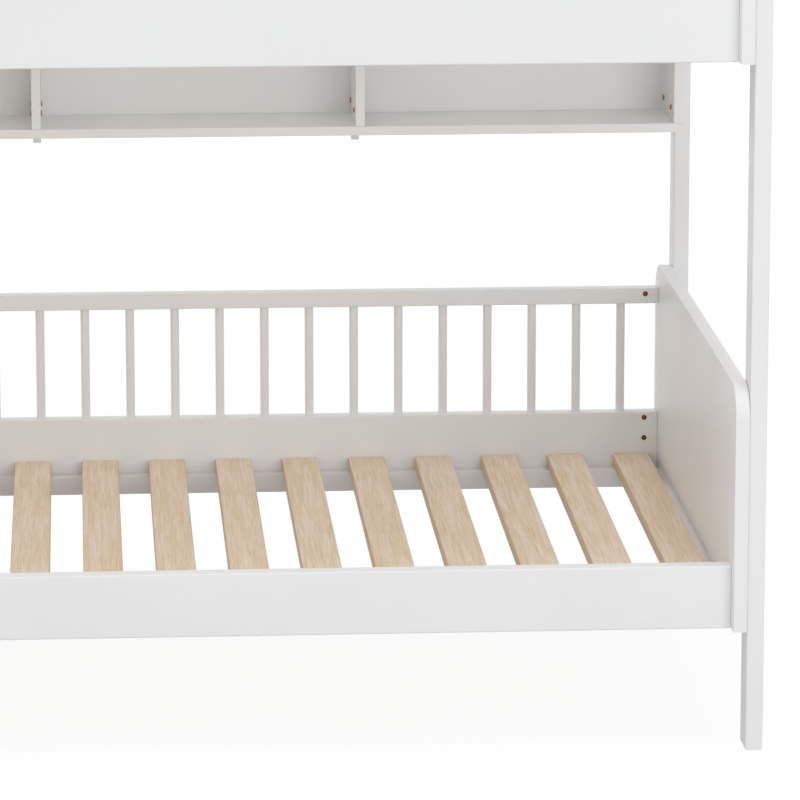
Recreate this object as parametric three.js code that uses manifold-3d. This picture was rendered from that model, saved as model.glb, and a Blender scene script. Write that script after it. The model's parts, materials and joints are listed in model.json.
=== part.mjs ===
import * as THREE from 'three';
import { mergeVertices } from 'three/addons/utils/BufferGeometryUtils.js';
import Module from 'manifold-3d';

// A bunk bed for two 90 x 200 cm mattresses, in millimetres. +Z is up, the open front faces -Y, +X is to the
// right, and the origin is on the floor under the middle of the bed.

// Space for the mattresses
const mattressLength = 2000;
const mattressWidth = 900;
const mattressEndPlay = 2.5;
const mattressSidePlay = 5;

// Clearance between pieces that touch, and how far a cutting tool runs past a face
const fitGap = 0.3;
const cutOvershoot = 1;

// Heights of the two beds
const underbedHeight = 179;
const bunkRise = 829.5;

// End panels, which reach above the guards
const panelThickness = 21;
const panelAboveGuard = 37;
const panelCornerRadius = 47;
const panelEase = 2;

// Posts, which stand outside the panels
const postThickness = 25;
const postWidth = 57.5;
const postInset = 6;
const postEase = 2;

// Long rails, set back from the panels' edges
const railThickness = 27;
const railHeight = 120;
const lowerFrontRailHeight = 94;
const railSetback = 24.5;
const railEase = 2.5;

// Ledgers on the rails' inner faces
const ledgerDepth = 22;
const ledgerHeight = 30;
const ledgerEase = 1.5;

// Slats, set out from the right-hand end; the left half shares what is left of the length
const slatCount = 19;
const slatWidth = 58.6;
const slatThickness = 21.5;
const slatEase = 2.5;
const slatSidePlay = 1;
const slatEndGap = 14.5;
const slatPitchRight = 108.1;
const slatsRight = 10;

// Tapes that hold the upper slats at their spacing
const tapeWidth = 25;
const tapeThickness = 1;
const tapeLap = 0.5;
const tapeFromMiddle = 210;

// Guards: a slim top rail with round spindles
const guardRailHeight = 25;
const guardRailEase = 1.5;
const spindleDiameter = 14;
const spindleLength = 180;
const spindleTenon = 8;
const spindleFootDepth = 12;
const spindleCount = 27;
const spindleEndMargin = 60.8;

// Shelf under the upper bed
const shelfHeight = 229.5;
const shelfDepth = 148.5;
const shelfBoard = 14.5;
const shelfBoardEase = 1;
const shelfBackThickness = 3;
const shelfDividerPitch = 511;
const battenWidth = 13;
const battenThickness = 14.5;
const battenEase = 1;
const battenBelowShelf = 30.5;
const battenOnRail = 110;

// Ladder in the recess in front of the rails
const stileWidth = 60;
const stileEase = 3;
const stileTopRadius = 12;
const ladderClearWidth = 386.5;
const rungCount = 4;
const rungHeight = 35;
const rungEase = 5;

// Bolts and barrel nuts
const boltHoleRadius = 3.5;
const boltHeadRadius = 7;
const boltHeadDepth = 6;
const boltPastNut = 8;
const nutHoleRadius = 4.3;
const nutHoleDepth = 20;
const nutFromPanel = 22;
const upperBoltDrop = 9.2;
const lowerBoltDrop = 43;
const shelfNutHeight = 21;
const shelfNutsFromFront = [35, 136];
const shelfBoltHeights = [50, 180];
const shelfBoltDepth = 10;
const shelfBoltFromRail = 21;
const stilePilotDepth = 15;
const lowerStileBoltHeight = 65;
const upperStileBoltHeights = [24, 60];
const rungPilotDepth = 40;

// Facets: sides of round holes and spindles, steps of an eased edge, and half the steps of a quarter arc
const boltFacets = 8;
const headFacets = 16;
const nutFacets = 12;
const spindleFacets = 10;
const edgeSteps = 2;
const edgeArcSteps = 1;
const cornerArcSteps = 4;

// Places that follow from the sizes above
const guardHeight = spindleLength + guardRailHeight;
const panelHeight = railHeight + guardHeight + panelAboveGuard;
const innerHalfLength = mattressLength / 2 + mattressEndPlay;
const innerHalfWidth = mattressWidth / 2 + mattressSidePlay;
const railHalfLength = innerHalfLength - fitGap;
const railCentre = innerHalfWidth + railThickness / 2;
const railOuter = innerHalfWidth + railThickness;
const panelHalfDepth = railOuter + railSetback;
const panelCentre = innerHalfLength + panelThickness / 2;
const postInner = innerHalfLength + panelThickness + fitGap;
const postCentreX = postInner + postThickness / 2;
const postCentreY = panelHalfDepth - postInset - postWidth / 2;
const lowerBase = underbedHeight;
const upperBase = underbedHeight + bunkRise;
const postHeight = upperBase + panelHeight - postInset;
const stileThickness = railSetback - fitGap;
const stileCentreY = -(panelHalfDepth - stileThickness / 2);
const leftStileX = -(railHalfLength - stileWidth / 2);
const rightStileX = leftStileX + ladderClearWidth + stileWidth;
const stileHeight = upperBase + railHeight + guardHeight;
const rungPitch = (upperBase + railHeight) / (rungCount + 1);
const shelfTop = upperBase - fitGap;
const shelfBottom = shelfTop - shelfHeight;
const shelfFront = railOuter - shelfDepth;
const shelfHalfLength = postInner - fitGap;
const shelfBackFront = railOuter - shelfBackThickness;
const shelfEndX = shelfHalfLength - shelfBoard / 2;

const LEFT = -1;
const RIGHT = 1;
const FRONT = -1;
const BACK = 1;

const whitePaint = new THREE.MeshStandardMaterial({ color: 0xecebe8, roughness: 0.5, metalness: 0 });
const slatWood = new THREE.MeshStandardMaterial({ color: 0xd3b892, roughness: 0.7, metalness: 0 });

const bed = new THREE.Group();
const wasm = await Module();
wasm.setup();

// Joining and cutting of solids

function toSolid(geometry) {
  const bare = geometry.clone();
  bare.deleteAttribute('normal');
  bare.deleteAttribute('uv');
  const merged = mergeVertices(bare, 1e-4);
  return new wasm.Manifold(new wasm.Mesh({
    numProp: 3,
    vertProperties: new Float32Array(merged.attributes.position.array),
    triVerts: new Uint32Array(merged.index.array),
  }));
}

function toGeometry(solid) {
  const mesh = solid.getMesh();
  const geometry = new THREE.BufferGeometry();
  geometry.setAttribute('position', new THREE.BufferAttribute(mesh.vertProperties, 3));
  geometry.setIndex(new THREE.BufferAttribute(mesh.triVerts, 1));
  geometry.computeVertexNormals();
  return geometry;
}

function cut(geometry, tools) {
  return toGeometry(tools.reduce((solid, tool) => solid.subtract(toSolid(tool)), toSolid(geometry)));
}

function join(geometry, others) {
  return toGeometry(others.reduce((solid, other) => solid.add(toSolid(other)), toSolid(geometry)));
}

// Basic shapes, each centred on its own origin

function eased(width, height, radius) {
  const x = width / 2 - radius;
  const y = height / 2 - radius;
  const shape = new THREE.Shape();
  shape.absarc(x, y, radius, 0, Math.PI / 2);
  shape.absarc(-x, y, radius, Math.PI / 2, Math.PI);
  shape.absarc(-x, -y, radius, Math.PI, 1.5 * Math.PI);
  shape.absarc(x, -y, radius, 1.5 * Math.PI, 2 * Math.PI);
  return shape;
}

// The frame that turns a shape's plane and its depth to the bed's axes, by the axis the depth lies along
const [X, Y, Z] = [new THREE.Vector3(1, 0, 0), new THREE.Vector3(0, 1, 0), new THREE.Vector3(0, 0, 1)];
const turned = {
  x: new THREE.Matrix4().makeBasis(Y, Z, X),
  y: new THREE.Matrix4().makeBasis(Z, X, Y),
  z: new THREE.Matrix4().makeBasis(X, Y, Z),
};

// A board sawn to length, with its four long edges eased
function plank(axis, size, radius) {
  const [x, y, z] = size;
  const section = { x: [y, z, x], y: [z, x, y], z: [x, y, z] }[axis];
  const shape = eased(section[0], section[1], radius);
  const geometry = new THREE.ExtrudeGeometry(shape, {
    depth: section[2],
    bevelEnabled: false,
    curveSegments: edgeArcSteps,
  });
  return geometry.translate(0, 0, -section[2] / 2).applyMatrix4(turned[axis]);
}

// A board cut to an outline, with its edges eased all round
function outlined(axis, outline, thickness, ease) {
  const geometry = new THREE.ExtrudeGeometry(outline, {
    depth: thickness - 2 * ease,
    bevelThickness: ease,
    bevelSize: ease,
    bevelOffset: -ease,
    bevelSegments: edgeSteps,
    curveSegments: cornerArcSteps,
  });
  return geometry.translate(0, 0, ease - thickness / 2).applyMatrix4(turned[axis]);
}

// A cylinder from one point to another
function rod(from, to, radius, facets) {
  const axis = new THREE.Vector3().subVectors(to, from);
  const geometry = new THREE.CylinderGeometry(radius, radius, axis.length(), facets);
  const turn = new THREE.Quaternion().setFromUnitVectors(Y, axis.clone().normalize());
  const middle = new THREE.Vector3().addVectors(from, to).multiplyScalar(0.5);
  return geometry.applyQuaternion(turn).translate(middle.x, middle.y, middle.z);
}

// A hole for a bolt's shank, and the wider one that its head sinks into
function shankHole(from, to) {
  return rod(from, to, boltHoleRadius, boltFacets);
}

function headHole(from, to) {
  return rod(from, to, boltHeadRadius, headFacets);
}

// Puts a piece in the bed at its centre; its bores are given in the bed's own frame
function addPiece(name, material, geometry, centre, bores = []) {
  const local = bores.map((bore) => bore.translate(-centre.x, -centre.y, -centre.z));
  const mesh = new THREE.Mesh(local.length > 0 ? cut(geometry, local) : geometry, material);
  mesh.name = name;
  mesh.position.copy(centre);
  bed.add(mesh);
}

function at(x, y, z) {
  return new THREE.Vector3(x, y, z);
}

// What is bolted where

const rails = [
  { name: 'lower_front_rail', row: FRONT, base: lowerBase, height: lowerFrontRailHeight },
  { name: 'lower_back_rail', row: BACK, base: lowerBase, height: railHeight },
  { name: 'upper_front_rail', row: FRONT, base: upperBase, height: railHeight },
  { name: 'upper_back_rail', row: BACK, base: upperBase, height: railHeight },
];

const guards = [
  { name: 'lower_back_guard', row: BACK, foot: lowerBase + railHeight, ends: [LEFT, RIGHT] },
  { name: 'upper_back_guard', row: BACK, foot: upperBase + railHeight, ends: [LEFT, RIGHT] },
  { name: 'upper_front_guard', row: FRONT, foot: upperBase + railHeight, ends: [RIGHT] },
];

function railBoltHeights(rail) {
  const top = rail.base + rail.height;
  return [top - upperBoltDrop, top - lowerBoltDrop];
}

function guardBoltHeight(guard) {
  return guard.foot + guardHeight - upperBoltDrop;
}

const cornerBolts = [
  ...rails.flatMap((rail) => [LEFT, RIGHT].flatMap((end) => railBoltHeights(rail)
    .map((height) => ({ end, row: rail.row, height })))),
  ...guards.flatMap((guard) => guard.ends
    .map((end) => ({ end, row: guard.row, height: guardBoltHeight(guard) }))),
];

// A hole along X for a corner bolt, between two distances from the bed's middle
function cornerBoltHole(bolt, from, to, hole = shankHole) {
  const y = bolt.row * railCentre;
  return hole(at(bolt.end * from, y, bolt.height), at(bolt.end * to, y, bolt.height));
}

// The bolt hole in a rail's end, and the hole from the rail's inner face for its barrel nut
function nutBores(end, row, height) {
  const nutX = innerHalfLength - nutFromPanel;
  const bolt = { end, row, height };
  const nutHole = rod(
    at(end * nutX, row * (innerHalfWidth - cutOvershoot), height),
    at(end * nutX, row * (innerHalfWidth + nutHoleDepth), height),
    nutHoleRadius,
    nutFacets,
  );
  return [cornerBoltHole(bolt, innerHalfLength + cutOvershoot, nutX - boltPastNut), nutHole];
}

// Holes where the ladder's stiles are bolted to what runs behind them
const stileBolts = [
  ...[leftStileX, rightStileX].flatMap((x) => [
    { x, height: lowerBase + lowerStileBoltHeight },
    ...upperStileBoltHeights.map((rise) => ({ x, height: upperBase + rise })),
  ]),
  { x: rightStileX, height: stileHeight - guardRailHeight / 2 },
];

function stilePilots(bottom, top) {
  return stileBolts
    .filter((bolt) => bolt.height > bottom && bolt.height < top)
    .map((bolt) => shankHole(
      at(bolt.x, -(railOuter + cutOvershoot), bolt.height),
      at(bolt.x, -(railOuter - stilePilotDepth), bolt.height),
    ));
}

// Posts

function postOutline(row) {
  const radius = panelCornerRadius - postInset;
  const inner = -row * postWidth / 2;
  const outer = row * postWidth / 2;
  const shape = new THREE.Shape();
  shape.moveTo(inner, 0);
  shape.lineTo(outer, 0);
  shape.lineTo(outer, postHeight - radius);
  const start = row === BACK ? 0 : Math.PI;
  shape.absarc(outer - row * radius, postHeight - radius, radius, start, Math.PI / 2, row === FRONT);
  shape.lineTo(inner, postHeight);
  shape.closePath();
  return shape;
}

const shelfPostBolts = shelfBoltHeights.map((rise) => ({
  y: railOuter - shelfBoltFromRail,
  height: shelfBottom + rise,
}));

function addPost(name, end, row) {
  const outerFace = postInner + postThickness;
  const centre = at(end * postCentreX, row * postCentreY, 0);
  const bores = cornerBolts.filter((bolt) => bolt.end === end && bolt.row === row).flatMap((bolt) => [
    cornerBoltHole(bolt, postInner - cutOvershoot, outerFace),
    cornerBoltHole(bolt, outerFace - boltHeadDepth, outerFace + cutOvershoot, headHole),
  ]);
  if (row === BACK) {
    for (const { y, height } of shelfPostBolts) {
      bores.push(shankHole(at(end * (postInner - cutOvershoot), y, height), at(end * outerFace, y, height)));
      bores.push(headHole(at(end * (outerFace - boltHeadDepth), y, height),
        at(end * (outerFace + cutOvershoot), y, height)));
    }
  }
  addPiece(name, whitePaint, outlined('x', postOutline(row), postThickness, postEase), centre, bores);
}

addPost('post_front_left', LEFT, FRONT);
addPost('post_front_right', RIGHT, FRONT);
addPost('post_back_left', LEFT, BACK);
addPost('post_back_right', RIGHT, BACK);

// End panels

function panelOutline() {
  const side = panelHalfDepth;
  const arc = panelCornerRadius;
  const shape = new THREE.Shape();
  shape.moveTo(-side, 0);
  shape.lineTo(side, 0);
  shape.absarc(side - arc, panelHeight - arc, arc, 0, Math.PI / 2);
  shape.absarc(arc - side, panelHeight - arc, arc, Math.PI / 2, Math.PI);
  shape.closePath();
  return shape;
}

function addPanel(name, end, base) {
  const bores = cornerBolts
    .filter((bolt) => bolt.end === end && bolt.height > base && bolt.height < base + panelHeight)
    .map((bolt) => cornerBoltHole(bolt, innerHalfLength - cutOvershoot,
      innerHalfLength + panelThickness + cutOvershoot));
  const board = outlined('x', panelOutline(), panelThickness, panelEase);
  addPiece(name, whitePaint, board, at(end * panelCentre, 0, base), bores);
}

addPanel('lower_end_panel_left', LEFT, lowerBase);
addPanel('lower_end_panel_right', RIGHT, lowerBase);
addPanel('upper_end_panel_left', LEFT, upperBase);
addPanel('upper_end_panel_right', RIGHT, upperBase);

// Where the guards' spindles stand: evenly along the bed, and at the front only to the right of the ladder

const spindleReach = innerHalfLength - spindleEndMargin;
const spindlePitch = 2 * spindleReach / (spindleCount - 1);
const spindlePlaces = Array.from({ length: spindleCount }, (_, i) => i * spindlePitch - spindleReach);

function guardSpindles(guard) {
  const isBesideLadder = !guard.ends.includes(LEFT);
  const start = isBesideLadder ? rightStileX + stileWidth / 2 + spindlePitch / 2 : -innerHalfLength;
  return spindlePlaces.filter((x) => x > start);
}

// An upright round piece on a guard's line, for a spindle or for the socket of its foot
function upright(x, row, bottom, top, radius) {
  return rod(at(x, row * railCentre, bottom), at(x, row * railCentre, top), radius, spindleFacets);
}

function spindleSockets(rail) {
  const top = rail.base + rail.height;
  return guards.filter((guard) => guard.row === rail.row && guard.foot === top).flatMap((guard) =>
    guardSpindles(guard).map((x) => upright(x, rail.row, top - spindleFootDepth - fitGap, top + cutOvershoot,
      spindleDiameter / 2 + fitGap)));
}

// Rails

for (const rail of rails) {
  const bores = [LEFT, RIGHT].flatMap((end) => railBoltHeights(rail)
    .flatMap((height) => nutBores(end, rail.row, height)));
  if (rail.row === FRONT) bores.push(...stilePilots(rail.base, rail.base + rail.height));
  bores.push(...spindleSockets(rail));
  const board = plank('x', [2 * railHalfLength, railThickness, rail.height], railEase);
  addPiece(rail.name, whitePaint, board, at(0, rail.row * railCentre, rail.base + rail.height / 2), bores);
}

// Ledgers

function addLedger(name, row, base) {
  const board = plank('x', [2 * railHalfLength, ledgerDepth, ledgerHeight], ledgerEase);
  const y = row * (innerHalfWidth - fitGap - ledgerDepth / 2);
  addPiece(name, whitePaint, board, at(0, y, base + ledgerHeight / 2));
}

addLedger('lower_front_ledger', FRONT, lowerBase);
addLedger('lower_back_ledger', BACK, lowerBase);
addLedger('upper_front_ledger', FRONT, upperBase);
addLedger('upper_back_ledger', BACK, upperBase);

// Guards; the front one runs behind the ladder's right-hand stile

function addGuard(guard) {
  const { name, row, foot, ends } = guard;
  const left = ends.includes(LEFT) ? -railHalfLength : rightStileX - stileWidth / 2;
  const length = railHalfLength - left;
  const railBottom = foot + spindleLength;
  const centre = at(left + length / 2, row * railCentre, railBottom + guardRailHeight / 2);
  const rail = plank('x', [length, railThickness, guardRailHeight], guardRailEase);
  const spindles = guardSpindles(guard).map((x) =>
    upright(x, row, foot - spindleFootDepth, railBottom + spindleTenon, spindleDiameter / 2)
      .translate(-centre.x, -centre.y, -centre.z));
  const bores = ends.flatMap((end) => nutBores(end, row, guardBoltHeight(guard)));
  if (row === FRONT) bores.push(...stilePilots(foot, foot + guardHeight));
  addPiece(name, whitePaint, join(rail, spindles), centre, bores);
}

guards.forEach(addGuard);

// Slats

const slatReach = innerHalfLength - slatEndGap - slatWidth / 2;
const slatPitchLeft = (2 * slatReach - (slatsRight - 1) * slatPitchRight) / (slatCount - slatsRight);

function slatPlace(index) {
  const fromRight = slatCount - 1 - index;
  return fromRight < slatsRight ? slatReach - fromRight * slatPitchRight : index * slatPitchLeft - slatReach;
}

function slat() {
  return plank('y', [slatWidth, 2 * (innerHalfWidth - slatSidePlay), slatThickness], slatEase);
}

const slatRise = ledgerHeight + fitGap + slatThickness / 2;

for (let index = 0; index < slatCount; index += 1) {
  const name = `lower_slat_${String(index + 1).padStart(2, '0')}`;
  addPiece(name, slatWood, slat(), at(slatPlace(index), 0, lowerBase + slatRise));
}

// The upper slats hang together on two tapes under them
function slatSet() {
  const boards = Array.from({ length: slatCount }, (_, index) => slat().translate(slatPlace(index), 0, 0));
  const tapeSize = [2 * slatReach + slatWidth / 2, tapeWidth, tapeThickness + tapeLap];
  const tapeHeight = -slatThickness / 2 + tapeLap - tapeSize[2] / 2;
  const tapes = [FRONT, BACK].map((row) => new THREE.BoxGeometry(...tapeSize)
    .translate(0, row * tapeFromMiddle, tapeHeight));
  return join(tapes[0], [...boards, tapes[1]]);
}

addPiece('upper_slat_set', slatWood, slatSet(), at(0, 0, upperBase + slatRise));

// Shelf

const shelfUprights = [
  { name: 'shelf_end_left', x: -shelfEndX },
  { name: 'shelf_divider_left', x: -shelfDividerPitch },
  { name: 'shelf_divider_middle', x: 0 },
  { name: 'shelf_divider_right', x: shelfDividerPitch },
  { name: 'shelf_end_right', x: shelfEndX },
];

function shelfBoltHoles(x, from, to, hole = shankHole) {
  return shelfNutsFromFront.map((inset) => {
    const y = shelfFront + inset;
    return hole(at(x, y, from), at(x, y, to));
  });
}

function addShelfFloor() {
  const size = [2 * shelfHalfLength, shelfDepth, shelfBoard];
  const y = shelfFront + shelfDepth / 2;
  const floorBores = shelfUprights.flatMap(({ x }) => [
    ...shelfBoltHoles(x, shelfBottom, shelfBottom + shelfBoard + cutOvershoot),
    ...shelfBoltHoles(x, shelfBottom - cutOvershoot, shelfBottom + boltHeadDepth, headHole),
  ]);
  const floorCentre = at(0, y, shelfBottom + shelfBoard / 2);
  addPiece('shelf_floor', whitePaint, plank('x', size, shelfBoardEase), floorCentre, floorBores);
}

function addShelfUpright({ name, x }) {
  const isEnd = Math.abs(x) === shelfEndX;
  const depth = isEnd ? shelfDepth : shelfDepth - shelfBackThickness - fitGap;
  const bottom = shelfBottom + shelfBoard + fitGap;
  const height = shelfTop - bottom;
  const nutHeight = shelfBottom + shelfBoard + shelfNutHeight;
  const face = shelfBoard / 2 + cutOvershoot;
  const bores = [
    ...shelfBoltHoles(x, bottom - cutOvershoot, nutHeight + boltPastNut),
    ...shelfNutsFromFront.map((inset) => rod(
      at(x - face, shelfFront + inset, nutHeight),
      at(x + face, shelfFront + inset, nutHeight),
      nutHoleRadius,
      nutFacets,
    )),
  ];
  if (isEnd) {
    for (const bolt of shelfPostBolts) {
      const outer = Math.sign(x) * (shelfHalfLength + cutOvershoot);
      const inner = Math.sign(x) * (shelfHalfLength - shelfBoltDepth);
      bores.push(shankHole(at(outer, bolt.y, bolt.height), at(inner, bolt.y, bolt.height)));
    }
  }
  const board = plank('z', [shelfBoard, depth, height], shelfBoardEase);
  addPiece(name, whitePaint, board, at(x, shelfFront + depth / 2, bottom + height / 2), bores);
}

function addShelfBack() {
  const bottom = shelfBottom + shelfBoard + fitGap;
  const height = shelfTop - bottom;
  const halfLength = shelfEndX - shelfBoard / 2 - fitGap;
  const board = new THREE.BoxGeometry(2 * halfLength, shelfBackThickness, height);
  const y = shelfBackFront + shelfBackThickness / 2;
  addPiece('shelf_back', whitePaint, board, at(0, y, bottom + height / 2));
}

function addBatten(name, x) {
  const bottom = shelfBottom - battenBelowShelf;
  const height = upperBase + battenOnRail - bottom;
  const y = railOuter + fitGap + battenThickness / 2;
  const board = plank('z', [battenWidth, battenThickness, height], battenEase);
  addPiece(name, whitePaint, board, at(x, y, bottom + height / 2));
}

addShelfFloor();
shelfUprights.forEach(addShelfUpright);
addShelfBack();
addBatten('shelf_batten_left', -shelfDividerPitch);
addBatten('shelf_batten_middle', 0);
addBatten('shelf_batten_right', shelfDividerPitch);

// Ladder

// Drawn in the plane of Z and X, because the stile's depth lies along Y
function stileOutline() {
  const side = stileWidth / 2;
  const shape = new THREE.Shape();
  const arc = stileTopRadius;
  shape.moveTo(0, side);
  shape.lineTo(0, -side);
  shape.absarc(stileHeight - arc, arc - side, arc, 1.5 * Math.PI, 2 * Math.PI);
  shape.absarc(stileHeight - arc, side - arc, arc, 0, Math.PI / 2);
  shape.closePath();
  return shape;
}

function rungCentre(index) {
  return (index + 1) * rungPitch - rungHeight / 2;
}

function addStile(name, x, outward) {
  const front = -panelHalfDepth;
  const back = front + stileThickness;
  const bores = stileBolts.filter((bolt) => bolt.x === x).flatMap((bolt) => [
    shankHole(at(x, front, bolt.height), at(x, back + cutOvershoot, bolt.height)),
    headHole(at(x, front - cutOvershoot, bolt.height), at(x, front + boltHeadDepth, bolt.height)),
  ]);
  for (let index = 0; index < rungCount; index += 1) {
    const z = rungCentre(index);
    const outer = x + outward * stileWidth / 2;
    const inner = x - outward * stileWidth / 2;
    bores.push(shankHole(at(outer, stileCentreY, z), at(inner - outward * cutOvershoot, stileCentreY, z)));
    bores.push(headHole(at(outer + outward * cutOvershoot, stileCentreY, z),
      at(outer - outward * boltHeadDepth, stileCentreY, z)));
  }
  const board = outlined('y', stileOutline(), stileThickness, stileEase);
  addPiece(name, whitePaint, board, at(x, stileCentreY, 0), bores);
}

function addRung(index) {
  const length = ladderClearWidth - 2 * fitGap;
  const centre = at((leftStileX + rightStileX) / 2, stileCentreY, rungCentre(index));
  const bores = [LEFT, RIGHT].map((end) => shankHole(
    at(centre.x + end * (length / 2 + cutOvershoot), centre.y, centre.z),
    at(centre.x + end * (length / 2 - rungPilotDepth), centre.y, centre.z),
  ));
  const board = plank('x', [length, stileThickness, rungHeight], rungEase);
  addPiece(`ladder_rung_${index + 1}`, whitePaint, board, centre, bores);
}

addStile('ladder_stile_left', leftStileX, LEFT);
addStile('ladder_stile_right', rightStileX, RIGHT);
for (let index = 0; index < rungCount; index += 1) {
  addRung(index);
}

export default bed;
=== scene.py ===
import json
import math

import bmesh
import bpy
from bpy.props import FloatProperty, FloatVectorProperty, IntProperty, PointerProperty
from mathutils import Matrix, Vector


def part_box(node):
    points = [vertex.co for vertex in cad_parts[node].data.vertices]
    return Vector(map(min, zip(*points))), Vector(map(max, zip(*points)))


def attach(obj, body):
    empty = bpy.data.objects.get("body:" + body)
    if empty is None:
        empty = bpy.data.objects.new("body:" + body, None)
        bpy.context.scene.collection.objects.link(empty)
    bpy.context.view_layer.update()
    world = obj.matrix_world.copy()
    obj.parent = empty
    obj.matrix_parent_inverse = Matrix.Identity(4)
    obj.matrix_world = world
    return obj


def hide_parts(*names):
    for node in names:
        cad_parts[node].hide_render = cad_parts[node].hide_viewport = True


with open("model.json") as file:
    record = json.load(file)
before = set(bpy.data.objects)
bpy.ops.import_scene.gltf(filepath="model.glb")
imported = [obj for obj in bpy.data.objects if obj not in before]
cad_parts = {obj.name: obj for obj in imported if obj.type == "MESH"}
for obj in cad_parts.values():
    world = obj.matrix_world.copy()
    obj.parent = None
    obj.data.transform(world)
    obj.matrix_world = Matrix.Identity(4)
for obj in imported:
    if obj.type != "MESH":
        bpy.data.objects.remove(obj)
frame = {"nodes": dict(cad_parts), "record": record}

# Looks of the bunk bed: satin white paint, bare slats, turned spindles, bronze fasteners and a pale studio.
# Lengths are in metres. +X is to the right, -Y towards the open front, and +Z is up.

bl_info = {
    "name": "Bunk Bed Looks",
    "version": (1, 0, 0),
    "blender": (4, 5, 0),
    "location": "3D View > Sidebar > Bunk Bed",
    "description": "Paints the boards, grains the slats and fits the guards and fasteners of a bunk bed",
    "category": "Object",
}

LEFT, RIGHT = -1, 1
FRONT, BACK = -1, 1
# Material numbers of the fasteners' faces: BRIGHT is bronze, DARK is near-black bronze, painted shade in
# their recesses
BRIGHT, DARK = 0, 1
MM = 0.001
BODY = "root"

# Small sizes that come with the make of a piece, not with the bed
NUT_DEPTH = 7 * MM
NUT_SIDES = 32
NUT_SINK = 1 * MM
GLUE_DEPTH = 1 * MM
SPINDLE_RIM = 0.4 * MM
RAIL_END_EASE = 0.5 * MM
DRILL_OVERSHOOT = 1 * MM
DRILL_SIDES = 32

# Limits for the work on meshes
SAME_PLACE = 1e-6
WELD_REACH = 0.01 * MM
FLAT_ANGLE = math.radians(1)
EDGE_ANGLE = math.radians(60)
CRISP_ANGLE = math.radians(40)

# How far the camera sees, well past the floor's rim
SIGHT_LIMIT = 200

NODES = frame["nodes"]
SLOT_OF = {row["node"]: row["material_slot"] for row in frame["record"]["subparts"]}
GUARDS = ("lower_back_guard", "upper_back_guard", "upper_front_guard")
RAILS = ("lower_front_rail", "lower_back_rail", "upper_front_rail", "upper_back_rail")
SHELF_UPRIGHTS = (
    "shelf_end_left",
    "shelf_divider_left",
    "shelf_divider_middle",
    "shelf_divider_right",
    "shelf_end_right",
)
SHELF_BATTENS = sorted(name for name in NODES if name.startswith("shelf_batten_"))
LOWER_SLATS = sorted(name for name in NODES if name.startswith("lower_slat_"))
RUNGS = sorted(name for name in NODES if name.startswith("ladder_rung_"))


# Settings


def length(name, description, default):
    return FloatProperty(name=name, description=description, default=default, unit="LENGTH", precision=4)


def share(name, description, default):
    return FloatProperty(name=name, description=description, default=default, min=0, max=1, subtype="FACTOR")


def strength(name, description, default):
    return FloatProperty(name=name, description=description, default=default, min=0)


def colour(name, description, default):
    return FloatVectorProperty(
        name=name, description=description, default=default, size=3, min=0, max=1, subtype="COLOR"
    )


class PaintSettings(bpy.types.PropertyGroup):
    """Satin white paint on the boards"""

    tone: colour("Paint", "Colour of the white paint", (0.88, 0.885, 0.892))
    shade: colour("Shade", "Slightly deeper paint in the broad clouds of the coat", (0.866, 0.871, 0.878))
    roughness: share("Roughness", "Roughness of the satin coat", 0.42)
    peel: length("Peel", "Width of the fine ripples that the roller left", 1.6 * MM)
    edge_round: length("Edge rounding", "Radius of the sanded edges and hole rims", 0.7 * MM)


class WoodSettings(bpy.types.PropertyGroup):
    """Bare planed wood of the slats"""

    tone: colour("Wood", "Main colour of the planed wood", (0.85, 0.692, 0.506))
    pale: colour("Pale bands", "Paler, pinkish bands along the slat", (0.915, 0.788, 0.668))
    dark: colour("Dark grain", "Darker, more orange grain lines", (0.68, 0.465, 0.27))
    pore: colour("Pores", "Fine short pores", (0.52, 0.35, 0.21))
    # Painted shade: a darker, more orange tone on the slats' side faces, standing in for the shade that falls
    # on them
    sawn: colour("Shaded sides", "Deeper tone of the slats' sawn sides", (0.58, 0.4, 0.235))
    roughness: share("Roughness", "Roughness of the planed surface", 0.62)
    edge_round: length("Edge rounding", "Radius of the slats' sawn ends", 0.8 * MM)


class GuardSettings(bpy.types.PropertyGroup):
    """Guards of a slim rail on round spindles"""

    spindle_count: IntProperty(
        name="Spindles", description="Spindles in a full-length guard", default=27, min=2
    )
    spindle_diameter: length("Spindle diameter", "Diameter of the turned spindles", 14 * MM)
    spindle_end_margin: length("End margin", "From the end panel to the last spindle's axis", 60.8 * MM)
    rail_height: length("Rail height", "Height of the guard's top rail", 25 * MM)
    rail_ease: length("Rail easing", "Radius of the top rail's long edges", 1.5 * MM)
    turning_sides: IntProperty(name="Turning sides", description="Sides of round pieces", default=32, min=8)


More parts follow.
